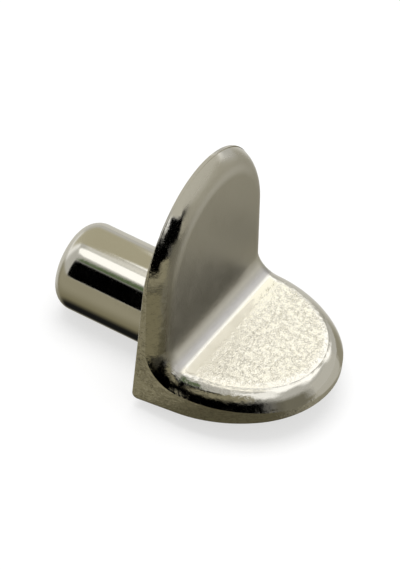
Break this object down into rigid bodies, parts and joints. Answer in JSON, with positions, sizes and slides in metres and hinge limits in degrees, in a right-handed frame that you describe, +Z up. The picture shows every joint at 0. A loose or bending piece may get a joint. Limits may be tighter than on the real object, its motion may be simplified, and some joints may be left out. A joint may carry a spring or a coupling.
{
  "type": "shelf support pin",
  "caption": "Cast shelf support: a plain round pin behind an upright tongue-shaped plate with a D-shaped ledge, all edged by a rolled rim.",
  "frame": {"origin": "where the pin's axis meets the wall face of the plate", "axes": "+X out of the cabinet's side towards the ledge's tip, +Y across the plate, +Z up"},
  "size_m": [0.0161, 0.0108, 0.0134],
  "materials": {
    "nickel_plate": "bright nickel plate over a zinc casting, smooth on the pin and the plate's face, with fine orange peel on the ledge, the rim and the sides"
  },
  "bodies": {
    "root": {"shelf_support": "nickel_plate"}
  },
  "joints": []
}
